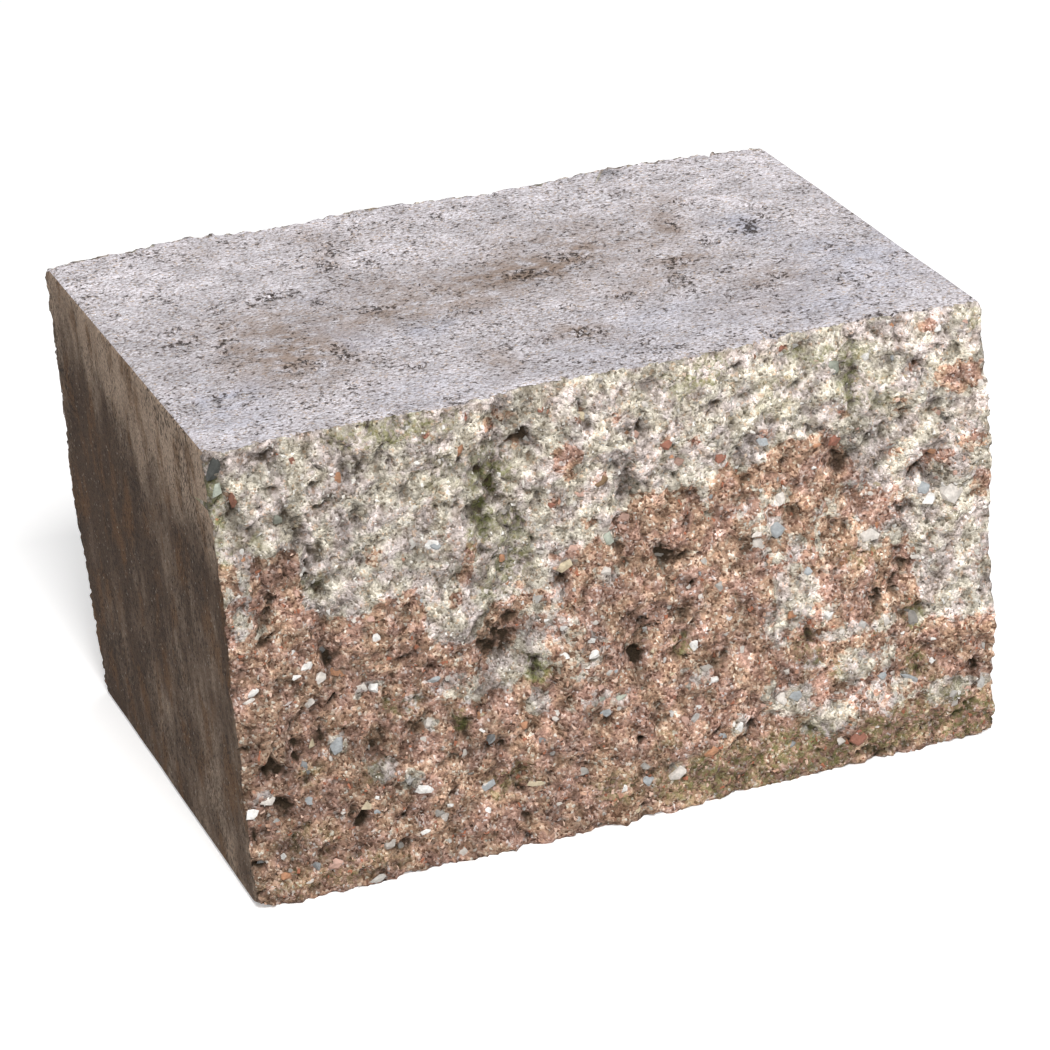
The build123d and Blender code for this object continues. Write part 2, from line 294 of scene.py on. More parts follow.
points = vectors(block.data.vertices, "co")
outward = vectors(block.data.vertex_normals, "vector")
nearest = [broken_skin.find_nearest(Vector(point), RIM) for point in points]
near = np.array([found[0] is not None for found in nearest])
distance = np.array([found[3] if found[0] is not None else RIM for found in nearest])
on_skin = np.array([found[0] for found in nearest if found[0] is not None])
close = 1.0 - smooth_step(0.0, RIM, distance)
broken = near & (distance < ON_BREAK) & (np.abs(outward[:, 1]) > BROKEN_FACING)

move = np.zeros(points.shape)
sunk = np.zeros(len(points))
rise, depth = broken_relief(on_skin / MM)
move[near, 1] = np.sign(points[near, 1]) * rise * close[near]
sunk[near] = depth
flat = ~broken
upward = (outward[flat, 2] > TOP_FACING).astype(float)
crumb = sampled(points[flat] / MM + np.array(SHIFT), CRUMB_SIZE)
wear = CRUMB_DEPTH * smooth_step(0.0, CRUMB_FULL, crumb) * close[flat] ** CRUMB_FALL
move[flat] += outward[flat] * (pressed_relief(points[flat] / MM, upward) - wear)[:, None]
sunk[flat] = wear

points += move * MM
low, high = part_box("wall_block")
points[:, 2] = np.clip(points[:, 2], low.z, high.z)
block.data.vertices.foreach_set("co", points.ravel())
store(block.data, "broken", broken.astype(float))
store(block.data, "sunk", np.minimum(1.0, sunk / SUNK_RANGE))

thin = block.modifiers.new("thinned", "DECIMATE")
thin.ratio = SKIN_FACES / (2 * len(block.data.polygons))  # the skin's faces have four corners
apply_modifiers(block)
block.data.shade_smooth()

# The block's colours
# The mould was filled with two mixes, a red-brown one and a cream-grey one, so the broken
# front is red below and grey above, with tongues of each in the other.

# The border is a line of heights along the front, and the tongues are ovals of redness.
BORDER = [
    (-150, 136), (-143, 134), (-140, 110), (-138, 135), (-122, 137), (-119, 124), (-122, 113),
    (-117, 110), (-110, 106), (-100, 106), (-93, 109), (-76, 111), (-74, 90), (-68, 87), (-56, 86),
    (-52, 97), (-42, 98), (-30, 103), (-20, 112), (-4, 116), (4, 121), (7, 128), (35, 127),
    (38, 112), (41, 128), (46, 136), (50, 128), (60, 130), (66, 137), (80, 138), (92, 133),
    (98, 124), (101, 108), (112, 104), (118, 90), (120, 56), (132, 53), (150, 54),
]

TONGUES = [Oval(*spot) for spot in (
    (-147, 124, 3, 5, 0.35), (-144, 112, 3.5, 7, 0.05), (-137, 106, 3, 2, 0.2),
    (-56, 121, 3, 4.5, 0.95), (-59, 113, 2.5, 5, 0.95), (-63, 104, 3, 4, 0.9),
    (-36, 104, 6, 5, 0.3), (-35, 77, 5.5, 14, 0), (-46, 72, 7, 8, 0.12), (-36, 57, 5, 5, 0.15),
    (-30, 90, 7, 6, 0.4), (-26, 98, 6, 8, 0.45), (-62, 68, 12, 6, 0.3), (-82, 68, 5, 4, 0.35),
    (-77, 57, 3, 3, 0.2), (-99, 76, 6, 3, 0.2), (-97, 45, 6.5, 4.5, 0.05), (-86, 37, 5, 4, 0.1),
    (-113, 57, 4, 4, 0.3), (-143, 42, 5, 3, 0.35), (-22, 108, 8, 5, 0.35), (-3, 100, 5, 4, 0.3),
    (-2, 114, 4, 4, 0.15), (-8, 122, 4, 2.5, 0.8), (-15, 150, 5, 5, 0.85), (-16, 144, 4, 4, 0.75),
    (-3, 138, 3.5, 2.5, 0.75), (23, 147, 3, 3, 0.9), (34, 145, 2, 1.5, 0.8),
    (-23, 133, 2.5, 2.5, 0.7), (-12, 134, 2.5, 1.5, 0.5), (-16, 115, 3, 2, 0.6),
    (3, 161, 4, 2, 0.5), (-8, 164, 2, 4, 0.7), (-37, 170, 5, 2.5, 0.7), (-44, 166, 2.5, 3, 0.6),
    (-34, 158, 4, 2.5, 0.6), (-53, 172, 3, 1.5, 0.8), (-68, 169, 3, 1.5, 0.6),
    (-118, 169, 2, 3, 0.5), (-141, 158, 2, 5, 0.7), (-92, 128, 2, 4, 0.6), (-96, 121, 4, 1.5, 0.5),
    (-63, 128, 2, 2, 0.4), (56, 112, 7, 11, 0.5), (67, 115, 4, 4, 0.1), (64, 103, 5, 5, 0.2),
    (71, 95, 5, 6, 0.2), (62, 94, 8, 5, 0.45), (86, 105, 5, 6, 0.25), (83, 94, 3, 6, 0.15),
    (87, 96, 4, 6, 1), (103, 105, 8, 6, 0.95), (97, 98, 4, 3, 0.6), (102, 92, 8, 5, 0.1),
    (113, 92, 4, 5, 0.1), (113, 103, 4, 8, 0.6), (96, 113, 7, 4, 0.6), (104, 121, 8, 4, 0.1),
    (70, 76, 9, 14, 0.18), (62, 66, 6, 12, 0.25), (82, 66, 2.5, 4, 0), (100, 71, 14, 10, 0.95),
    (88, 82, 8, 4, 0.8), (89, 57, 10, 3.5, 0.1), (91, 52, 5, 2.5, 0.9), (79, 59, 3.5, 3.5, 0.7),
    (92, 42, 8, 7.5, 0.03), (106, 57, 4, 4, 0.2), (118, 55, 3, 5, 0.2), (56, 36, 4, 8, 0.35),
    (66, 33, 9, 8, 0.12), (80, 22, 11, 8, 0.12), (94, 27, 6, 8, 0.5), (108, 28, 10, 8, 0.45),
    (106, 44, 7, 8, 0.55), (131, 24, 12, 5.5, 0.15), (146, 23, 4, 5, 0.05), (129, 42, 20, 11, 0.95),
    (93, 8, 6, 5, 0.9), (76, 48, 5, 5, 0.5), (127, 118, 8, 5, 0.55), (130, 122, 6, 2, 0.9),
    (143, 126, 7, 3.5, 0.7), (146, 108, 4, 7, 0.85), (140, 151, 10, 6, 0.95),
    (122, 157, 2.5, 2, 0.9), (128, 172, 3, 3, 0.8), (116, 142, 3.5, 3, 0.6), (62, 142, 4, 2, 0.6),
    (95, 143, 3, 2.5, 0.6), (131, 137, 3, 2, 0.6), (124, 134, 4, 2, 0.5), (71, 174, 3, 2, 0.7),
    (113, 124, 4, 3, 0.6), (136, 62, 3, 4, 0.4), (128, 88, 4, 3, 0.4), (145, 76, 4, 3, 0.5),
    (28, 50, 6, 6, 0.6), (16, 17, 5, 4, 0.35), (-18, 76, 10, 14, 0.6), (-12, 52, 12, 5, 0.6),
    (44, 28, 4, 4, 0.2),
)]

# Moss and algae on the front
MOSS = [Oval(*spot) for spot in (
    (-50, 132, 5, 9, 1), (-45, 148, 9, 9, 0.9), (-38, 127, 6, 6, 0.8), (-56, 126, 3, 5, 0.6),
    (-40, 115, 9, 10, 0.7), (-47, 104, 8, 7, 0.5), (-34, 69, 5, 7, 1), (98, 155, 5, 11, 0.9),
    (94, 166, 13, 5, 0.8), (76, 170, 6, 3, 0.7), (40, 172, 9, 6, 0.8), (28, 167, 8, 5, 0.5),
    (-80, 173, 26, 6, 0.7), (-148, 160, 4, 14, 0.9), (-148, 140, 4, 6, 0.5), (-86, 67, 8, 5, 0.6),
    (-65, 56, 4, 4, 0.9), (-52, 26, 6, 5, 0.7), (-124, 48, 5, 5, 0.4), (-100, 45, 6, 5, 0.35),
    (23, 66, 4, 5, 0.8), (-8, 17, 9, 6, 0.7), (30, 12, 26, 9, 0.8), (66, 12, 18, 10, 0.9),
    (84, 6, 12, 6, 0.9), (84, 42, 4, 5, 0.7), (102, 58, 6, 5, 0.5), (117, 56, 4, 7, 0.8),
    (117, 37, 4, 6, 0.9), (128, 26, 10, 5, 0.5), (136, 10, 18, 10, 0.9), (110, 12, 18, 10, 0.9),
    (50, 8, 36, 10, 0.8), (74, 54, 6, 8, 0.5), (-120, 8, 28, 6, 0.4), (-128, 22, 12, 8, 0.3),
    (98, 86, 9, 5, 0.5), (68, 155, 12, 8, 0.4), (108, 148, 8, 8, 0.4), (132, 98, 4, 4, 0.5),
    (147, 172, 5, 4, 0.6), (14, 30, 6, 4, 0.5), (-46, 28, 9, 6, 0.5), (-136, 142, 5, 5, 0.4),
    (-115, 122, 5, 5, 0.4), (-62, 154, 8, 8, 0.35),
)]

# Broad painted shade on the front, in hollows and on parts that face away from the light
PAINTED_SHADE = [Oval(*spot) for spot in (
    (-134, 72, 17, 17, 0.6), (-105, 97, 9, 10, 0.5), (-148, 168, 5, 12, 0.9),
    (-145, 92, 8, 10, 0.5), (-45, 146, 10, 12, 0.5), (-38, 122, 12, 14, 0.3), (-50, 84, 10, 8, 0.5),
    (100, 70, 14, 12, 0.45), (-118, 50, 34, 40, 0.5), (-60, 20, 40, 20, 0.35),
    (-140, 24, 16, 24, 0.55), (-84, 78, 26, 14, 0.45), (18, 104, 12, 12, 0.5),
    (-44, 84, 14, 10, 0.5), (8, 70, 12, 16, 0.45), (106, 128, 12, 12, 0.45), (4, 20, 26, 14, 0.4),
    (60, 60, 20, 18, 0.3), (134, 34, 20, 14, 0.4), (98, 100, 10, 16, 0.4), (130, 42, 20, 10, 0.35),
    (20, 90, 18, 14, 0.3), (-60, 42, 18, 12, 0.3), (0, 38, 16, 14, 0.25), (-124, 128, 8, 12, 0.35),
    (-88, 158, 10, 10, 0.25), (84, 8, 72, 13, 0.6), (-30, 162, 8, 8, 0.4),
)]

# Brown stains of the top
STAINS = [Oval(*spot) for spot in (
    (-94, -22, 19, 30, 0.9), (-94, 12, 20, 12, 0.7), (-48, -5, 14, 12, 0.8), (-34, 22, 22, 12, 0.6),
    (14, 14, 26, 14, 1), (45, 30, 10, 16, 0.9), (-12, -4, 16, 12, 0.7), (68, -8, 16, 9, 0.7),
    (95, -46, 12, 12, 0.7), (80, 34, 5, 14, 0.8), (-27, -72, 5, 10, 0.7), (-49, 84, 6, 28, 0.4),
    (10, -60, 9, 9, 0.9), (20, 52, 12, 12, 0.5), (88, 62, 8, 9, 0.5), (-94, 98, 5, 9, 0.4),
    (40, -30, 18, 9, 0.4), (-6, 84, 5, 20, 0.4), (78, -66, 9, 8, 0.5),
)]

# Parts of the top that are washed bluish
BLUED = [Oval(*spot) for spot in (
    (-40, -26, 12, 9, 0.9), (-69, -28, 4, 8, 1), (108, 16, 6, 14, 1), (126, -34, 24, 22, 0.7),
    (104, -70, 44, 26, 0.6), (-120, -56, 20, 8, 0.9), (-130, -78, 20, 22, 0.5),
    (62, -80, 30, 20, 0.4), (14, -80, 24, 20, 0.4), (-60, -88, 40, 12, 0.4), (40, -54, 24, 14, 0.5),
    (-72, -4, 8, 6, 0.7), (-60, 28, 16, 10, 0.3),
)]

STAIN_SPREAD = 1.25             # size of the stains for their noted size
MOSS_SOFTNESS, PAINTED_SHADE_SOFTNESS, STAIN_SOFTNESS, BLUED_SOFTNESS = 0.4, 0.6, 0.7, 0.5
BORDER_BLUR = 2.0               # the two mixes merge this far above and below their border
TONGUE_CORE, TONGUE_END = 0.75, 1.2  # where a tongue starts to fade and ends, for its size
WARP_SIZE, WARP = 11.0, 2.2     # what is laid over the skin is pushed about by so much
FRAY_SIZE, FRAY = 3.4, 1.6      # and its edges are frayed

# On the back the border is random: its mean height, and how far it swings from it
BACK_BORDER, BACK_BLUR = 106.0, 6.0
BACK_PATCH_SIZE, BACK_PATCH_SWING = 26.0, 60.0
BACK_FLECK_SIZE, BACK_FLECK_SWING = 9.0, 22.0
PATCH_FLATNESS = 1.4            # width of the back's patches for their height

# Damp dirt and moss at the foot of the back, and the heights between which it ends
FOOT_GROWTH = 0.6
FOOT_LOW, FOOT_HIGH = 6.0, 34.0
FOOT_PATCH_SIZE = 24.0
FOOT_BARE, FOOT_FULL = -0.2, 0.4  # levels of the noise where there is none and most of it


def warped(places):
    """Places pushed about a little, so that whatever is laid over them gets uneven edges."""
    shift = sampled(places, WARP_SIZE, noise.noise_vector) * WARP
    return places + shift + sampled(places, FRAY_SIZE, noise.noise_vector) * FRAY


def front_redness(across, up):
    """How red the mix is at each place of the front."""
    heights = np.interp(across, [x for x, z in BORDER], [z for x, z in BORDER])
    red = smooth_step(-BORDER_BLUR, BORDER_BLUR, heights - up)
    for oval in TONGUES:
        inside = 1.0 - smooth_step(TONGUE_CORE, TONGUE_END, reach(oval, across, up))
        red += (oval.amount - red) * inside
    return red


def back_redness(places):
    """How red the mix is at each place of the back."""
    patch = sampled(places * np.array((1.0, 0.0, PATCH_FLATNESS)), BACK_PATCH_SIZE)
    fleck = sampled(places + np.array(SHIFT), BACK_FLECK_SIZE)
    border = BACK_BORDER + BACK_PATCH_SWING * patch + BACK_FLECK_SWING * fleck
    return smooth_step(-BACK_BLUR, BACK_BLUR, border - places[:, 2])


places = vectors(block.data.vertices, "co") / MM
pushed = warped(places)
in_front = places[:, 1] < 0
seen_upright = pushed[:, 0], pushed[:, 2]
seen_from_above = pushed[:, 0], pushed[:, 1]
foot_patch = smooth_step(FOOT_BARE, FOOT_FULL, sampled(places, FOOT_PATCH_SIZE))
foot = FOOT_GROWTH * (1.0 - smooth_step(FOOT_LOW, FOOT_HIGH, pushed[:, 2])) * foot_patch
store(block.data, "red", np.where(in_front, front_redness(*seen_upright), back_redness(pushed)))
store(block.data, "moss", np.where(in_front, most_of(MOSS, *seen_upright, MOSS_SOFTNESS), foot))
# On the front this is broad painted shade; on the back it is the damp dirt at the foot
store(block.data, "shade_and_grime", np.where(in_front, most_of(PAINTED_SHADE, *seen_upright, PAINTED_SHADE_SOFTNESS), foot))
store(block.data, "stain", most_of(STAINS, *seen_from_above, STAIN_SOFTNESS, STAIN_SPREAD))
store(block.data, "blued", most_of(BLUED, *seen_from_above, BLUED_SOFTNESS))
store(block.data, "pitted", most_of(PITTED, *seen_from_above, PITTED_SOFTNESS))


def fill(tree, socket, value):
    """Gives a node's input a value, or the output of another node."""
    if isinstance(value, bpy.types.NodeSocket):
        tree.links.new(value, socket)
    else:
        socket.default_value = value


def node(tree, kind, *values, **named_values):
    """Adds a node and fills its inputs, the first ones in order and others by their names."""
    made = tree.nodes.new(kind)
    for socket, value in zip(made.inputs, values):
        fill(tree, socket, value)
    for name, value in named_values.items():
        fill(tree, made.inputs[name], value)
    return made


MIX_SHARE, MIX_FIRST, MIX_SECOND, MIX_RESULT = 0, 6, 7, 2  # a mix node's sockets for colours


def blended(tree, share, first, second, how="MIX"):
    """The colour between two others at that share, or one laid on the other in another way."""
    mix = tree.nodes.new("ShaderNodeMix")
    mix.data_type = "RGBA"
    mix.blend_type = how
    fill(tree, mix.inputs[MIX_SHARE], share)
    fill(tree, mix.inputs[MIX_FIRST], first)
    fill(tree, mix.inputs[MIX_SECOND], second)
    return mix.outputs[MIX_RESULT]


def maths(tree, operation, *values):
    """The result of one sum on two or three values."""
    made = node(tree, "ShaderNodeMath", *values)
    made.operation = operation
    return made.outputs[0]


def ranged(tree, value, low, high, to_low=0.0, to_high=1.0):
    """A value brought smoothly from one range to another, and held inside it."""
    made = node(tree, "ShaderNodeMapRange", value, low, high, to_low, to_high)
    made.interpolation_type = "SMOOTHSTEP"
    return made.outputs[0]


def cloud(tree, place, size, detail=2.0, roughness=0.5):
    """Soft noise whose patches are about that size."""
    made = node(tree, "ShaderNodeTexNoise", Vector=place, Scale=1.0 / size, Detail=detail,
                Roughness=roughness)
    return made.outputs["Fac"]


def stored(tree, name):
    """The outputs of a value or colour stored on the points of a mesh."""
    made = tree.nodes.new("ShaderNodeAttribute")
    made.attribute_name = name
    return made.outputs


def object_place(tree):
    """The place on the piece, in metres."""
    return tree.nodes.new("ShaderNodeTexCoord").outputs["Object"]


def new_group(name, ins, outs):
    """A shader node group with those named inputs and outputs."""
    group = bpy.data.node_groups.new(name, "ShaderNodeTree")
    for label, kind in ins:
        group.interface.new_socket(label, in_out="INPUT", socket_type="NodeSocket" + kind)
    for label, kind in outs:
        group.interface.new_socket(label, in_out="OUTPUT", socket_type="NodeSocket" + kind)
    return group, group.nodes.new("NodeGroupInput"), group.nodes.new("NodeGroupOutput")


def place_group(tree, group, **named_values):
    """Places a node group in a material and gives its outputs."""
    made = tree.nodes.new("ShaderNodeGroup")
    made.node_tree = group
    for name, value in named_values.items():
        fill(tree, made.inputs[name], value)
    return made.outputs


SHEEN = 0.2                     # dull mineral surfaces mirror less than the shader's own 0.5


def new_material(name, roughness):
    """A material with a Principled shader, ready for its colour and bump."""
    material = bpy.data.materials.new(name)
    material.use_nodes = True
    tree = material.node_tree
    shader = tree.nodes["Principled BSDF"]
    shader.inputs["Roughness"].default_value = roughness
    shader.inputs["Specular IOR Level"].default_value = SHEEN
    return material, tree, shader


def shaded(tree, colour, shade):
    """A colour made darker or lighter by a factor."""
    grey = node(tree, "ShaderNodeCombineColor", shade, shade, shade).outputs["Color"]
    return blended(tree, 1.0, colour, grey, "MULTIPLY")


def bumped(tree, shader, height, depth):
    """Turns a height into a bump of that depth on a shader."""
    bump = node(tree, "ShaderNodeBump", Height=height, Distance=depth, Strength=1.0)
    tree.links.new(bump.outputs["Normal"], shader.inputs["Normal"])


# Sand in the mortar: each grain has its own shade and stands a little proud.
sand, sand_in, sand_out = new_group(
    "sand_grains",
    [("Place", "Vector"), ("Grain", "Float")],
    [("Shade", "Float"), ("Tint", "Float"), ("Height", "Float")],
)
scale = maths(sand, "DIVIDE", 1.0, sand_in.outputs["Grain"])
grains = node(sand, "ShaderNodeTexVoronoi", Vector=sand_in.outputs["Place"], Scale=scale)
draws = node(sand, "ShaderNodeSeparateColor", grains.outputs["Color"])
dome = maths(sand, "SUBTRACT", 1.0, grains.outputs["Distance"])
sand.links.new(draws.outputs["Red"], sand_out.inputs["Shade"])
sand.links.new(draws.outputs["Green"], sand_out.inputs["Tint"])
sand.links.new(dome, sand_out.inputs["Height"])


def tone(red, green, blue):
    """A colour given as it looks on a screen, from 0 to 255."""
    shades = [((value / 255 + 0.055) / 1.055) ** 2.4 for value in (red, green, blue)]
    return (*shades, 1)


def grain_tones(tree, draw, stops):
    """The colour of a grain, picked by its random draw from a list of shares and colours."""
    made = node(tree, "ShaderNodeValToRGB", draw)
    ramp = made.color_ramp
    ramp.interpolation = "CONSTANT"
    start = 0.0
    for number, (share, colour) in enumerate(stops):
        stop = ramp.elements[0] if number == 0 else ramp.elements.new(start)
        stop.position = start
        stop.color = colour
        start += share
    ramp.elements.remove(ramp.elements[-1])
    return made.outputs["Color"]


GREY_GRAINS = [
    (0.06, tone(150, 144, 134)),
    (0.18, tone(188, 184, 176)),
    (0.32, tone(218, 214, 208)),
    (0.26, tone(235, 232, 227)),
    (0.11, tone(246, 244, 241)),
    (0.07, tone(216, 198, 182)),
]
RED_GRAINS = [
    (0.10, tone(128, 100, 86)),
    (0.24, tone(173, 143, 127)),
    (0.32, tone(201, 169, 151)),
    (0.19, tone(219, 191, 175)),
    (0.10, tone(234, 216, 203)),
    (0.05, tone(242, 239, 235)),
]
DARK_PATCH, PALE_PATCH = tone(176, 170, 162), tone(255, 254, 252)
WARM_PATCH, PINK_PATCH = tone(255, 252, 242), tone(255, 246, 249)
# Dark dirt, also laid on as painted shade in the hollows
DIRT_AND_SHADE = tone(46, 36, 25)
MOSS_GREEN = tone(76, 80, 42)
ALGAE = tone(150, 152, 96)
FINE_GRAIN, COARSE_GRAIN = 1.0 * MM, 2.6 * MM
FRAY_PATCH = 3.0 * MM           # size of the frayed bits along the border of the mixes
STRAY_GRAINS = 0.7              # how far coarse grains of one mix stray into the other
HUE_PATCH = 9.0 * MM            # size of the warmer and pinker parts of the mix
MOTTLE_PATCH = 5.0 * MM         # of its mottling
SHADE_PATCH = 15.0 * MM         # of its darker and lighter parts
SHADE_AND_GRIME_PATCH = 9.0 * MM          # and of the spots of painted shade and of the foot's dirt
TUFT_SIZE = 3.0 * MM            # size of a tuft of moss
DUST_SIZE = 0.5 * MM            # size of the finest bits
LEFT_PAINTED_SHADE, RIGHT_PAINTED_LIGHT = 0.93, 1.22  # painted light: the front is darker towards its left-hand end and paler towards its right
# Strengths of the painted shade and foot dirt, of the painted shade and dirt in the sunk skin, and of the
# moss
SHADE_AND_GRIME_STRENGTH, SUNK_STRENGTH, MOSS_STRENGTH = 0.6, 0.88, 0.75
FINE_RISE = 0.6                 # rise of the fine grains and the dust for that of the coarse ones
BROKEN_BUMP = 1.1 * MM
NOISE_MIDDLE = 0.5              # the middle of the values of a noise and of a random draw
HALF_LENGTH = high.x


def broken_concrete():
    """Split concrete: two mixes, grains of many shades, dirty hollows and moss."""
    material, tree, shader = new_material("broken_concrete", roughness=0.92)
    place = object_place(tree)
    fine = place_group(tree, sand, Place=place, Grain=FINE_GRAIN)
    coarse = place_group(tree, sand, Place=place, Grain=COARSE_GRAIN)

    # The two mixes, with a frayed border and stray grains
    fray = cloud(tree, place, FRAY_PATCH, detail=4.0, roughness=0.6)
    fray = maths(tree, "SUBTRACT", fray, NOISE_MIDDLE)
    zone = maths(tree, "ADD", stored(tree, "red")["Fac"], fray)
    stray = maths(tree, "SUBTRACT", coarse["Tint"], NOISE_MIDDLE)
    stray = maths(tree, "MULTIPLY", stray, STRAY_GRAINS)
    zone = ranged(tree, maths(tree, "ADD", zone, stray), low=0.35, high=0.65)
    grey = grain_tones(tree, fine["Tint"], GREY_GRAINS)
    red = grain_tones(tree, fine["Tint"], RED_GRAINS)
    colour = blended(tree, zone, grey, red)

    # Warmer and pinker parts, mottling of three sizes, and painted light along the front
    warmth = ranged(tree, cloud(tree, place, HUE_PATCH, detail=3.0), low=0.4, high=0.6)
    hue = blended(tree, warmth, WARM_PATCH, PINK_PATCH)
    colour = blended(tree, 1.0, colour, hue, "MULTIPLY")
    mottle = cloud(tree, place, MOTTLE_PATCH, detail=4.0, roughness=0.6)
    patch = blended(tree, ranged(tree, mottle, low=0.3, high=0.62), DARK_PATCH, PALE_PATCH)
    colour = blended(tree, 1.0, colour, patch, "MULTIPLY")
    grain_shade = ranged(tree, coarse["Shade"], low=0.0, high=1.0, to_low=0.76, to_high=1.22)
    colour = shaded(tree, colour, grain_shade)
    broad = cloud(tree, place, SHADE_PATCH, detail=3.0)
    colour = shaded(tree, colour, ranged(tree, broad, low=0.32, high=0.64, to_low=0.64, to_high=1.15))
    # Painted light: darker towards the left-hand end, paler towards the right
    along = node(tree, "ShaderNodeSeparateXYZ", Vector=place).outputs["X"]
    painted_side_light = ranged(tree, along, -HALF_LENGTH, HALF_LENGTH, LEFT_PAINTED_SHADE, RIGHT_PAINTED_LIGHT)
    colour = shaded(tree, colour, painted_side_light)

    # Painted shade and dirt where the skin is sunk and in the spots of painted shade, then algae on what
    # stands out and moss in what doesn't
    sunk = stored(tree, "sunk")["Fac"]
    # Spots of painted shade on the front, and of dirt at the foot of the back
    spots = ranged(tree, cloud(tree, place, SHADE_AND_GRIME_PATCH, detail=4.0), low=0.3, high=0.6)
    shade_and_grime = maths(tree, "MULTIPLY", stored(tree, "shade_and_grime")["Fac"], spots)
    # Painted shade and dirt, strongest where the skin is sunk deepest
    sunk_shade_and_dirt = ranged(tree, sunk, low=0.08, high=0.95, to_high=SUNK_STRENGTH)
    dirt_and_shade = maths(tree, "MULTIPLY_ADD", shade_and_grime, SHADE_AND_GRIME_STRENGTH, sunk_shade_and_dirt)
    colour = blended(tree, dirt_and_shade, colour, DIRT_AND_SHADE)
    tufts = cloud(tree, place, TUFT_SIZE, detail=5.0, roughness=0.7)
    tufts = ranged(tree, tufts, low=0.42, high=0.6)
    growth = maths(tree, "MULTIPLY", stored(tree, "moss")["Fac"], tufts)
    green = blended(tree, maths(tree, "ADD", sunk, shade_and_grime), ALGAE, MOSS_GREEN)
    colour = blended(tree, maths(tree, "MULTIPLY", growth, MOSS_STRENGTH), colour, green)
    tree.links.new(colour, shader.inputs["Base Color"])

    height = maths(tree, "MULTIPLY_ADD", fine["Height"], FINE_RISE, coarse["Height"])
    height = maths(tree, "MULTIPLY_ADD", cloud(tree, place, DUST_SIZE), FINE_RISE, height)
    bumped(tree, shader, height, BROKEN_BUMP)
    return material


TOP_GRAINS = [
    (0.10, tone(168, 160, 160)),
    (0.30, tone(205, 198, 202)),
    (0.34, tone(221, 216, 222)),
    (0.20, tone(236, 233, 239)),
    (0.06, tone(200, 184, 174)),
]
TOP_STAIN = tone(150, 131, 118)
TOP_BLUE = tone(176, 182, 202)
# Painted shade inside the open pits
PIT_SHADE = tone(50, 39, 32)
TOP_GRAIN = 0.9 * MM
TOP_PATCH, TOP_BROAD_PATCH = 12.0 * MM, 34.0 * MM
BLOTCH_SIZE = 6.0 * MM          # of the stains and the bluish wash
BACK_PAINTED_LIGHT, END_PAINTED_LIGHT = 1.18, 1.06  # painted light: the top is paler towards the back and the right-hand end
BACK_REACH = 100.0 * MM         # how far behind the middle it is palest
BLUE_STRENGTH, STAIN_STRENGTH, PIT_STRENGTH = 0.6, 0.96, 0.85
CROWD_SIZE = 14.0 * MM          # of the parts of the top with more pits
PINHOLE_SIZE = 1.9 * MM         # of the small open pits
PITTED_SHARE = 0.09             # how much more of the noise becomes pits in a pitted spot
SAND_RISE = 0.5                 # rise of the sand for the depth of a pit or pore
UNEVEN_SIZE, UNEVEN_RISE = 1.8 * MM, 1.6
TOP_BUMP = 1.1 * MM


def pressed_concrete():
    """The pressed top and underside: pale fine sand, small open pits and brown stains."""
    material, tree, shader = new_material("pressed_concrete", roughness=0.85)
    place = object_place(tree)
    fine = place_group(tree, sand, Place=place, Grain=TOP_GRAIN)
    colour = grain_tones(tree, fine["Tint"], TOP_GRAINS)
    patch = cloud(tree, place, TOP_PATCH, detail=4.0)
    colour = shaded(tree, colour, ranged(tree, patch, low=0.3, high=0.7, to_low=0.78, to_high=1.05))
    broad = cloud(tree, place, TOP_BROAD_PATCH)
    colour = shaded(tree, colour, ranged(tree, broad, low=0.35, high=0.65, to_low=0.9, to_high=1.04))
    along, back = node(tree, "ShaderNodeSeparateXYZ", Vector=place).outputs[:2]
    # Painted light: paler towards the back and towards the right-hand end
    colour = shaded(tree, colour, ranged(tree, back, 0.0, BACK_REACH, 1.0, BACK_PAINTED_LIGHT))
    colour = shaded(tree, colour, ranged(tree, along, 0.0, HALF_LENGTH, 1.0, END_PAINTED_LIGHT))

    # Bluish wash and brown stains
    blotch = ranged(tree, cloud(tree, place, BLOTCH_SIZE, detail=3.0), low=0.3, high=0.6)
    blue = maths(tree, "MULTIPLY", stored(tree, "blued")["Fac"], blotch)
    colour = blended(tree, maths(tree, "MULTIPLY", blue, BLUE_STRENGTH), colour, TOP_BLUE)
    stain = maths(tree, "MULTIPLY", stored(tree, "stain")["Fac"], blotch)
    colour = blended(tree, maths(tree, "MULTIPLY", stain, STAIN_STRENGTH), colour, TOP_STAIN)

    # Small open pits, closest together in the pitted spots, each with a stained rim and painted shade
    # inside
    crowd = cloud(tree, place, CROWD_SIZE, detail=3.0)
    crowd = ranged(tree, crowd, low=0.35, high=0.65, to_high=0.06)
    crowd = maths(tree, "MULTIPLY_ADD", stored(tree, "pitted")["Fac"], PITTED_SHARE, crowd)
    holes = maths(tree, "ADD", cloud(tree, place, PINHOLE_SIZE, detail=4.0, roughness=0.65), crowd)
    pits = ranged(tree, holes, low=0.63, high=0.7)
    colour = blended(tree, ranged(tree, holes, low=0.5, high=0.66, to_high=0.3), colour, TOP_STAIN)
    colour = blended(tree, maths(tree, "MULTIPLY", pits, PIT_STRENGTH), colour, PIT_SHADE)
    tree.links.new(colour, shader.inputs["Base Color"])

    height = maths(tree, "SUBTRACT", maths(tree, "MULTIPLY", fine["Height"], SAND_RISE), pits)
    uneven = cloud(tree, place, UNEVEN_SIZE, detail=3.0)
    bumped(tree, shader, maths(tree, "MULTIPLY_ADD", uneven, UNEVEN_RISE, height), TOP_BUMP)
    return material


END_LIGHT = tone(162, 142, 124)
END_DARK = tone(72, 55, 42)
END_BROWN = tone(100, 72, 47)
END_SPECK = tone(196, 184, 170)
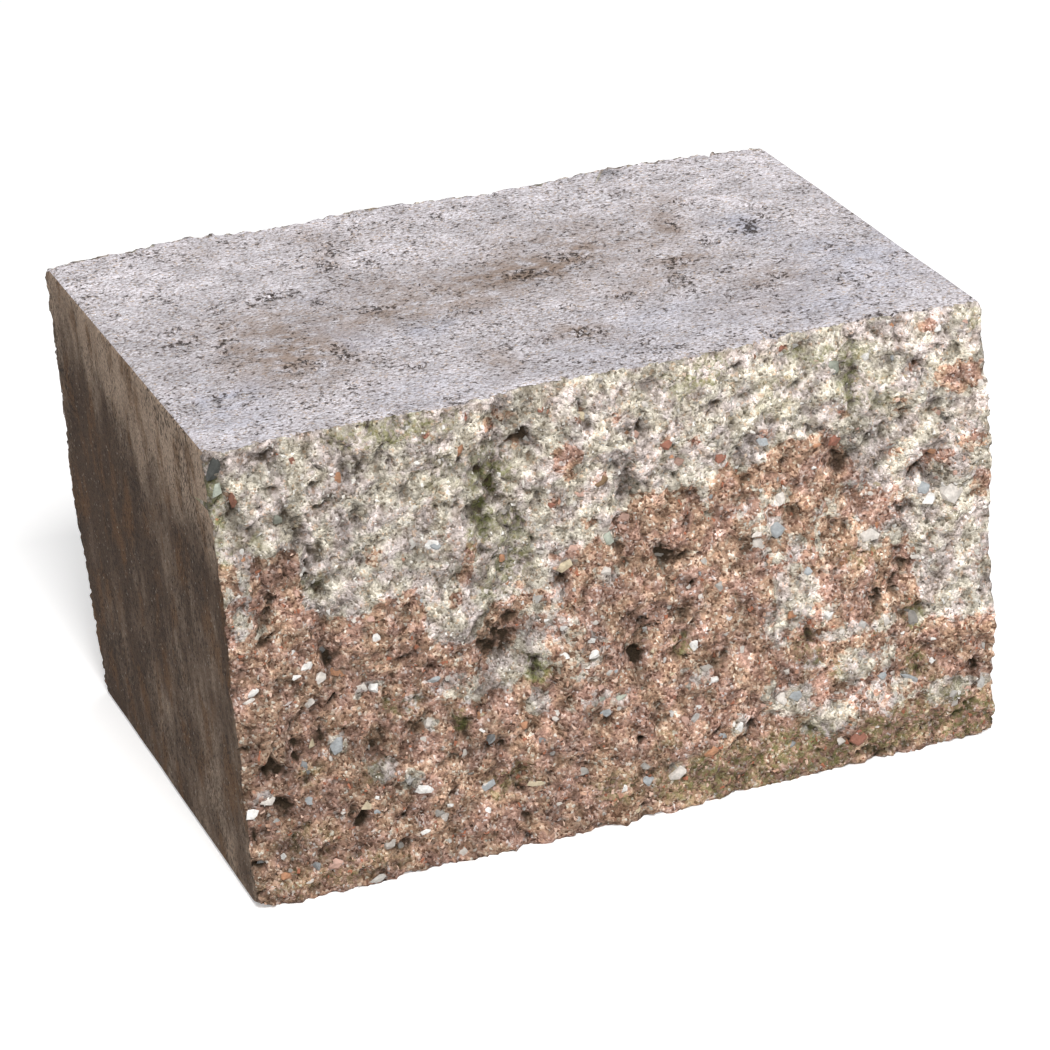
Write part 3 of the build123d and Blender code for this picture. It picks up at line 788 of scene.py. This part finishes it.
# Painted shade inside the pores
PORE_SHADE = tone(38, 26, 18)
END_GRAIN = 0.8 * MM
END_PATCH, BROWN_PATCH, PORE_CROWD = 20.0 * MM, 14.0 * MM, 20.0 * MM
UPPER_PART, UPPER_PAINTED_LIGHT = (120.0 * MM, 176.0 * MM), (-0.16, 0.28)  # heights, and the painted light there
LOWER_PART, LOWER_LIGHT = (0.0, 70.0 * MM), (0.1, 0.0)
# Painted light across the end: paler towards the front, darker towards the back
DEPTH_PART, DEPTH_PAINTED_LIGHT = (-100.0 * MM, 80.0 * MM), (0.06, -0.1)
PORE_SIZE = 1.1 * MM
PORE_STRENGTH = 0.8
PORE_WIDTH = 0.5                # width of a pore for its height
BLOTCH_WIDTH = 0.6              # and of a blotch
END_BUMP_SIZE = 2.0 * MM
END_BUMP = 0.7 * MM


def stretched(tree, place, width):
    """The place, for a pattern that is only that wide for its height."""
    made = node(tree, "ShaderNodeMapping", Vector=place, Scale=(1.0, 1.0, width))
    return made.outputs["Vector"]


def drawn_concrete():
    """The moulded ends: brown-grey, with pores dragged upright as the block left its mould."""
    material, tree, shader = new_material("drawn_concrete", roughness=0.9)
    place = object_place(tree)
    fine = place_group(tree, sand, Place=place, Grain=END_GRAIN)
    drawn = stretched(tree, place, PORE_WIDTH)
    streaked = stretched(tree, place, BLOTCH_WIDTH)
    across, up = node(tree, "ShaderNodeSeparateXYZ", Vector=place).outputs[1:]

    # Light and dark blotches; paler at the foot; and painted light, paler near the top and towards the
    # front and darker towards the back
    near_top = ranged(tree, up, *UPPER_PART, *UPPER_PAINTED_LIGHT)
    near_foot = ranged(tree, up, *LOWER_PART, *LOWER_LIGHT)
    near_front = ranged(tree, across, *DEPTH_PART, *DEPTH_PAINTED_LIGHT)
    light = cloud(tree, streaked, END_PATCH, detail=5.0, roughness=0.6)
    for more in (near_top, near_foot, near_front):
        light = maths(tree, "ADD", light, more)
    colour = blended(tree, ranged(tree, light, low=0.25, high=0.75), END_DARK, END_LIGHT)
    brown = cloud(tree, streaked, BROWN_PATCH, detail=3.0)
    brown = ranged(tree, brown, low=0.5, high=0.68, to_high=0.7)
    colour = blended(tree, brown, colour, END_BROWN)
    grain_shade = ranged(tree, fine["Shade"], low=0.0, high=1.0, to_low=0.74, to_high=1.22)
    colour = shaded(tree, colour, grain_shade)
    specks = ranged(tree, fine["Tint"], low=0.986, high=0.99, to_high=0.35)
    colour = blended(tree, specks, colour, END_SPECK)

    # Pores, here close together and there few, with painted shade inside
    crowd = cloud(tree, place, PORE_CROWD, detail=3.0)
    crowd = ranged(tree, crowd, low=0.35, high=0.65, to_low=-0.03, to_high=0.07)
    holes = maths(tree, "ADD", cloud(tree, drawn, PORE_SIZE, detail=2.0, roughness=0.55), crowd)
    pores = ranged(tree, holes, low=0.57, high=0.69)
    colour = blended(tree, maths(tree, "MULTIPLY", pores, PORE_STRENGTH), colour, PORE_SHADE)
    tree.links.new(colour, shader.inputs["Base Color"])

    height = maths(tree, "SUBTRACT", maths(tree, "MULTIPLY", fine["Height"], SAND_RISE), pores)
    unevenness = cloud(tree, place, END_BUMP_SIZE, detail=3.0)
    bumped(tree, shader, maths(tree, "ADD", height, unevenness), END_BUMP)
    return material


ARRIS = 2.0 * MM                # width of the worn edge between an end and the top
LEVEL_FACING = 0.6              # a face on it that looks up or down more than this is the top's
MOST_CORNERS = 1.5              # more than half of a triangle's corners
BROKEN, PRESSED, DRAWN = range(3)

block.data.materials.clear()
for material in (broken_concrete(), pressed_concrete(), drawn_concrete()):
    block.data.materials.append(material)
is_broken = block.data.attributes["broken"].data
for face in block.data.polygons:
    at_end = abs(face.center.x) > high.x - ARRIS
    at_bed = min(face.center.z - low.z, high.z - face.center.z) < ARRIS
    if sum(is_broken[v].value for v in face.vertices) > MOST_CORNERS:
        face.material_index = BROKEN
    elif at_end and not (at_bed and abs(face.normal.z) > LEVEL_FACING):
        face.material_index = DRAWN
    else:
        face.material_index = PRESSED
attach(block, "root")
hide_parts("wall_block")

# The open stones and the grit
# Gravel of the mix that the break laid bare, half sunk in both broken faces: pale quartz,
# blue-grey slate, and cream, pink and red sandstone. The mortar's own crumbs lie between.

LUMP_KINDS = 24                 # shapes that the lumps are picked from
STONE_CORNERS, CRUMB_CORNERS = 16, 9
STONES_A_FACE, CRUMBS_A_FACE = 170, 4800
STONE_SIZES = 1.0, 2.8          # least and most half size of a random stone, in millimetres
CRUMB_SIZES = 0.45, 1.5
SMALL_ONES = 2.5                # the higher, the more of the lumps are small
SLENDER, BROAD = 0.75, 1.3      # range of a lump's width for its mean size
CORNER_REACH = 0.8, 1.05        # range of a corner's distance from the middle of a lump
TURN = 0.5                      # most turn of a lump in the face, in radians
THICKNESS = 0.7                 # thickness of a lump for its narrower side
SUNK_SHARE = 0.25               # share of its thickness by which a lump's middle is sunk
SHADE_AND_DIRT_ON_LUMPS = 1.1             # painted shade and dirt on a lump for how deep the skin is sunk under it
MINGLING = 0.2                  # how far the crumbs of the two mixes mingle along their border
STRAYS_ACROSS = -148, 148       # where random lumps may lie, in millimetres
STRAYS_UP = 1.5, 176
CLEAR_OF_BLOCK = 200.0          # the skin is looked for from this far before the block's middle
Stone = namedtuple("Stone", "across up half_width half_height hue")
HUES = {
    "white": tone(230, 229, 226),
    "pale": tone(212, 206, 199),
    "grey": tone(178, 175, 170),
    "slate": tone(166, 171, 174),
    "cream": tone(208, 194, 166),
    "pink": tone(194, 160, 146),
    "red": tone(150, 104, 88),
    "orange": tone(180, 134, 104),
    "green": tone(166, 172, 160),
    "brown": tone(122, 100, 76),
    "dark": tone(72, 74, 72),
}
# Stones of the front, as they lie
STONES = [Stone(*spot) for spot in (
    (-144, 82, 3, 1.5, "pale"), (-126, 88, 2.5, 1.5, "white"), (-117, 85, 3, 3, "pale"),
    (-102, 76, 3, 3, "pale"), (-97, 76, 2.5, 2.5, "white"), (-74, 74, 3, 1.8, "slate"),
    (-125.5, 50, 2.2, 4.5, "slate"), (-122, 76, 2, 3, "pale"), (-113, 57, 3, 4, "slate"),
    (-141, 41, 3.5, 2.5, "pale"), (-139, 33, 1.5, 1.5, "white"), (-126, 38, 2.5, 2, "slate"),
    (-105, 32, 3, 2, "cream"), (-101, 35, 1.5, 1, "white"), (-87, 38, 2.5, 4, "white"),
    (-83, 34, 4, 2.5, "white"), (-77, 57, 2.5, 3, "pale"), (-58, 51, 2, 1.5, "white"),
    (-55, 47, 2, 2.5, "slate"), (-58, 57, 2.5, 2, "orange"), (-73, 24, 2, 1.5, "white"),
    (-75, 19, 2.5, 2.5, "pale"), (-98, 15, 3, 3, "pale"), (-84, 16, 3, 1.2, "white"),
    (-93, 12, 2, 2, "grey"), (-138, 19, 2, 2, "white"), (-138, 11, 3, 2.5, "orange"),
    (-126, 12, 2, 3, "slate"), (-146, 18, 3, 1.5, "slate"), (-63, 34, 2, 1.5, "grey"),
    (-57, 28, 4, 2, "slate"), (-60, 5, 3, 2, "green"), (-69, 3, 3, 2, "pale"),
    (-104, 2, 4, 2, "grey"), (-79, 17, 1.5, 2, "red"), (-95, 96, 2.5, 2, "white"),
    (-96, 104, 2, 1.5, "pink"), (-114, 94, 2.5, 2, "slate"), (-122, 91, 3, 2, "white"),
    (-69, 126, 3, 2, "slate"), (-126, 148, 2.5, 3, "green"), (-68, 169, 2, 1.5, "red"),
    (-53, 172, 2, 1.2, "red"), (-118, 169, 1.5, 2.5, "red"), (-147, 171, 3, 6, "dark"),
    (-147, 164, 2.5, 3.5, "green"), (-141, 158, 2, 4, "red"), (-23, 84, 2, 1.5, "white"),
    (-14, 78, 2.5, 1.5, "white"), (-24, 74, 2, 1.5, "white"), (-13, 73, 3, 2, "white"),
    (-11, 84, 2, 1.2, "pale"), (-16, 68, 1.5, 1.2, "pale"), (10.5, 74, 1.5, 2, "white"),
    (28, 65, 3, 2.5, "white"), (16, 61, 0.8, 2.5, "white"), (43, 72, 2, 1.5, "white"),
    (35, 49, 3, 2.5, "white"), (17, 40, 1.5, 3.2, "white"), (26, 36, 2.5, 2.5, "white"),
    (27, 41, 1.5, 1, "white"), (-35, 40, 3, 3, "slate"), (-31, 35, 1.5, 2, "white"),
    (-29, 50, 2, 3, "pale"), (-11, 53, 2.5, 1.2, "green"), (-10, 47, 2.5, 2, "slate"),
    (-4, 52, 3, 1.2, "green"), (-39, 24, 4, 1.3, "cream"), (-20, 25, 3, 2, "grey"),
    (4, 23, 2.5, 2, "grey"), (18, 47, 1, 1, "red"), (-44, 14, 2, 2, "white"),
    (29, 87, 2, 2, "grey"), (-29, 88, 1.5, 1, "white"), (33, 83, 2, 1.5, "pale"),
    (20, 82, 1.5, 1.5, "grey"), (16, 17, 4, 3, "pale"), (-54, 46, 2, 3, "slate"),
    (44, 28, 3, 3, "white"), (37, 26, 2.5, 1.5, "slate"), (-3, 137, 3, 2.5, "brown"),
    (23, 146, 3, 3, "red"), (34, 145, 1.5, 1.2, "red"), (8, 154, 1, 1.5, "orange"),
    (-23, 132, 2, 2, "red"), (-12, 134, 2, 1.5, "pink"), (-16, 113, 3, 1.5, "pink"),
    (-2, 114, 3, 3, "green"), (-28, 114, 2.5, 2, "pale"), (-20, 107, 4, 2.5, "cream"),
    (-4, 101, 3, 3, "pale"), (-31, 97, 2.5, 3, "grey"), (44, 136, 3, 2.5, "red"),
    (35, 97, 1.5, 1.5, "grey"), (-24, 169, 1.5, 1.5, "red"), (28, 138, 2.5, 2.5, "pink"),
    (18, 102, 3, 1, "grey"), (81, 124, 1.8, 1.2, "white"), (82, 133, 3, 1, "orange"),
    (91, 132, 3, 3, "red"), (67, 115, 3, 3, "pale"), (64, 103, 4, 4, "slate"),
    (101, 93, 5, 3.5, "pale"), (114, 126, 5, 1.5, "grey"), (128, 122, 2.5, 1.5, "orange"),
    (132, 170, 2.5, 2, "white"), (72, 173, 2, 2, "red"), (135, 106, 6, 5, "pale"),
    (84, 108, 1.5, 2, "pink"), (92, 162, 4, 3, "green"), (131, 137, 1.5, 1.2, "pink"),
    (125, 104, 3, 3, "white"), (57, 99, 3, 4, "pale"), (105, 163, 2, 2, "white"),
    (123, 109, 3, 3, "slate"), (82, 66, 2, 2.5, "white"), (96, 58, 3, 2, "white"),
    (67, 35, 3, 3, "slate"), (62, 36, 3, 4, "pale"), (106, 57, 2, 2.5, "pale"),
    (118, 55, 2.5, 4.5, "grey"), (103, 35, 2, 2, "slate"), (115, 31, 5, 1.5, "slate"),
    (131, 22, 3, 2, "grey"), (145, 22, 3, 4, "white"), (92, 12, 4, 4, "red"),
    (79, 59, 3, 3, "orange"), (75, 85, 2, 2, "slate"),
)]
STRAY_HUES = ("white", "pale", "pale", "pale", "grey", "slate", "cream", "pink", "pink", "orange")
GREY_CRUMBS = (
    tone(150, 146, 138),
    tone(196, 192, 184),
    tone(220, 217, 210),
    tone(238, 236, 231),
    tone(206, 186, 168),
)
RED_CRUMBS = (
    tone(134, 100, 82),
    tone(176, 136, 116),
    tone(202, 164, 142),
    tone(220, 190, 172),
    tone(170, 112, 88),
)
DRAW_SEED = 11

skin_corners = [v.co.copy() for v in block.data.vertices]
skin_sides = [tuple(f.vertices) for f in block.data.polygons]
skin = BVHTree.FromPolygons(skin_corners, skin_sides)
redness = [point.value for point in block.data.attributes["red"].data]
sunk_depths = [point.value for point in block.data.attributes["sunk"].data]
draw = random.Random(DRAW_SEED)


def lump_shape(corners):
    """The corners and sides of a small angular lump about 1 across from its middle."""
    bm = bmesh.new()
    for _ in range(corners):
        heading = Vector([draw.gauss(0, 1) for _ in range(3)]).normalized()
        bm.verts.new(heading * draw.uniform(*CORNER_REACH))
    hull = bmesh.ops.convex_hull(bm, input=bm.verts)
    bmesh.ops.delete(bm, geom=hull["geom_interior"], context="VERTS")
    bmesh.ops.recalc_face_normals(bm, faces=bm.faces)
    bm.verts.index_update()
    shape = np.array([v.co for v in bm.verts]), [[v.index for v in f.verts] for f in bm.faces]
    bm.free()
    return shape


def lumps(name, corners, spots):
    """One piece of many lumps that sit sunk in the broken faces, each with its own colour."""
    shapes = [lump_shape(corners) for _ in range(LUMP_KINDS)]
    all_corners, all_sides, all_hues = [], [], []
    total = 0
    for side, across, up, half_width, half_height, hue in spots:
        outwards = Vector((0, side, 0))
        start = Vector((across, side * CLEAR_OF_BLOCK, up)) * MM
        hit, normal, index, _ = skin.ray_cast(start, -outwards)
        if hit is None:
            continue
        if hue is None:
            red = redness[skin_sides[index][0]] + draw.gauss(0, MINGLING) > 0.5
            hue = draw.choice(RED_CRUMBS if red else GREY_CRUMBS)
        # A lump deep in a hollow gets painted shade and dirt
        dirt_and_shade = min(1.0, SHADE_AND_DIRT_ON_LUMPS * sunk_depths[skin_sides[index][0]])
        hue = [clean + (soiled - clean) * dirt_and_shade for clean, soiled in zip(hue, DIRT_AND_SHADE)]
        shape, sides = draw.choice(shapes)
        thick = THICKNESS * min(half_width, half_height)
        size = np.array((half_width, thick, half_height)) * MM
        turn = Matrix.Rotation(draw.uniform(-TURN, TURN), 3, "Y")
        tilt = outwards.rotation_difference((normal + outwards).normalized())
        pose = np.array(tilt.to_matrix() @ turn)
        middle = np.array(hit - normal * thick * MM * SUNK_SHARE)
        all_corners.append(shape * size @ pose.T + middle)
        all_sides += [[total + corner for corner in face] for face in sides]
        all_hues += [hue] * len(shape)
        total += len(shape)
    mesh = bpy.data.meshes.new(name)
    mesh.from_pydata(np.concatenate(all_corners).tolist(), [], all_sides)
    layer = mesh.attributes.new("hue", "FLOAT_COLOR", "POINT")
    layer.data.foreach_set("color", np.array(all_hues).ravel())
    return linked(name, mesh)


GRAVEL_GRAIN, CRUMB_GRAIN = 2.0 * MM, 0.8 * MM
LUMP_BUMP = 0.3 * MM
BUMP_SHARE = 0.5                # size of the bumps for that of the mottling


def lump_material(name, roughness, grain):
    """Stone or mortar in the colour of each lump, faintly mottled."""
    material, tree, shader = new_material(name, roughness)
    place = object_place(tree)
    mottle = cloud(tree, place, grain, detail=4.0, roughness=0.6)
    mottle = ranged(tree, mottle, low=0.3, high=0.7, to_low=0.76, to_high=1.1)
    colour = shaded(tree, stored(tree, "hue")["Color"], mottle)
    tree.links.new(colour, shader.inputs["Base Color"])
    bumped(tree, shader, cloud(tree, place, BUMP_SHARE * grain, detail=3.0), LUMP_BUMP)
    return material


def stray_spots(number, sizes, hues):
    """Random spots on both broken faces, with more small lumps than large ones."""
    least, most = sizes
    spots = []
    for side in (-1, 1):
        for _ in range(number):
            half = least + (most - least) * draw.random() ** SMALL_ONES
            shape = draw.uniform(SLENDER, BROAD)
            place = draw.uniform(*STRAYS_ACROSS), draw.uniform(*STRAYS_UP)
            spots.append((side, *place, half * shape, half / shape, draw.choice(hues)))
    return spots


noted_spots = [(-1, *stone[:4], HUES[stone.hue]) for stone in STONES]
stray_stones = stray_spots(STONES_A_FACE, STONE_SIZES, [HUES[hue] for hue in STRAY_HUES])
open_stones = lumps("open_stones", STONE_CORNERS, noted_spots + stray_stones)
grit = lumps("grit", CRUMB_CORNERS, stray_spots(CRUMBS_A_FACE, CRUMB_SIZES, [None]))
open_stones.data.materials.append(lump_material("gravel", roughness=0.6, grain=GRAVEL_GRAIN))
grit.data.materials.append(lump_material("mortar_crumbs", roughness=0.9, grain=CRUMB_GRAIN))
for piece in (open_stones, grit):
    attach(piece, "root")

# Floor and backdrop
# A plain pale floor that runs out past the view. It is the stage, and no part of the block.

FLOOR_SIZE = 6.0
FLOOR_WHITE = (0.86, 0.86, 0.86, 1)
WHITE = (1, 1, 1, 1)
FLOOR_GLOW = 0.35               # added where the floor is seen, so that it ends in white


def seen_plainly(tree):
    """1 for rays that show the surroundings: to the camera, in a gloss or through glass."""
    rays = tree.nodes.new("ShaderNodeLightPath").outputs
    mirrored = maths(tree, "MAXIMUM", rays["Is Glossy Ray"], rays["Is Transmission Ray"])
    return maths(tree, "MAXIMUM", rays["Is Camera Ray"], mirrored)


floor_mesh = bmesh.new()
bmesh.ops.create_grid(floor_mesh, x_segments=1, y_segments=1, size=FLOOR_SIZE)
floor = new_piece("floor", floor_mesh)
floor_material, floor_tree, floor_shader = new_material("floor_white", roughness=0.9)
floor_shader.inputs["Base Color"].default_value = FLOOR_WHITE
floor_shader.inputs["Emission Color"].default_value = WHITE
glow = maths(floor_tree, "MULTIPLY", seen_plainly(floor_tree), FLOOR_GLOW)
floor_tree.links.new(glow, floor_shader.inputs["Emission Strength"])
floor.data.materials.append(floor_material)

# Light
# Soft daylight from above in front of the block, a weaker light from behind it on the right,
# and a pale sky all round.

SKY = 0.35                      # strength of its light; where it is seen itself, it is white
world = bpy.data.worlds.new("sky")
bpy.context.scene.world = world
world.use_nodes = True
sky_tree = world.node_tree
background = sky_tree.nodes["Background"]
background.inputs["Color"].default_value = WHITE
sky_strength = maths(sky_tree, "MULTIPLY_ADD", seen_plainly(sky_tree), 1.0 - SKY, SKY)
sky_tree.links.new(sky_strength, background.inputs["Strength"])


def lamp(name, direction, distance, size, watts, colour):
    """A square soft light that shines on the middle of the block."""
    made = linked(name, bpy.data.lights.new(name, "AREA"))
    made.data.size = size
    made.data.energy = watts
    made.data.color = colour
    middle = (low + high) / 2
    place = middle + Vector(direction).normalized() * distance
    turned = (middle - place).to_track_quat("-Z", "Y").to_matrix()
    made.matrix_world = Matrix.Translation(place) @ turned.to_4x4()


lamp("key", direction=(-0.10, -0.68, 0.72), distance=2.4, size=0.6, watts=56.0, colour=(1.0, 0.98, 0.965))
lamp("fill", direction=(0.75, 0.75, 0.35), distance=2.6, size=1.6, watts=18.0, colour=(0.95, 0.97, 1.0))

bpy.context.scene.view_settings.view_transform = "Standard"
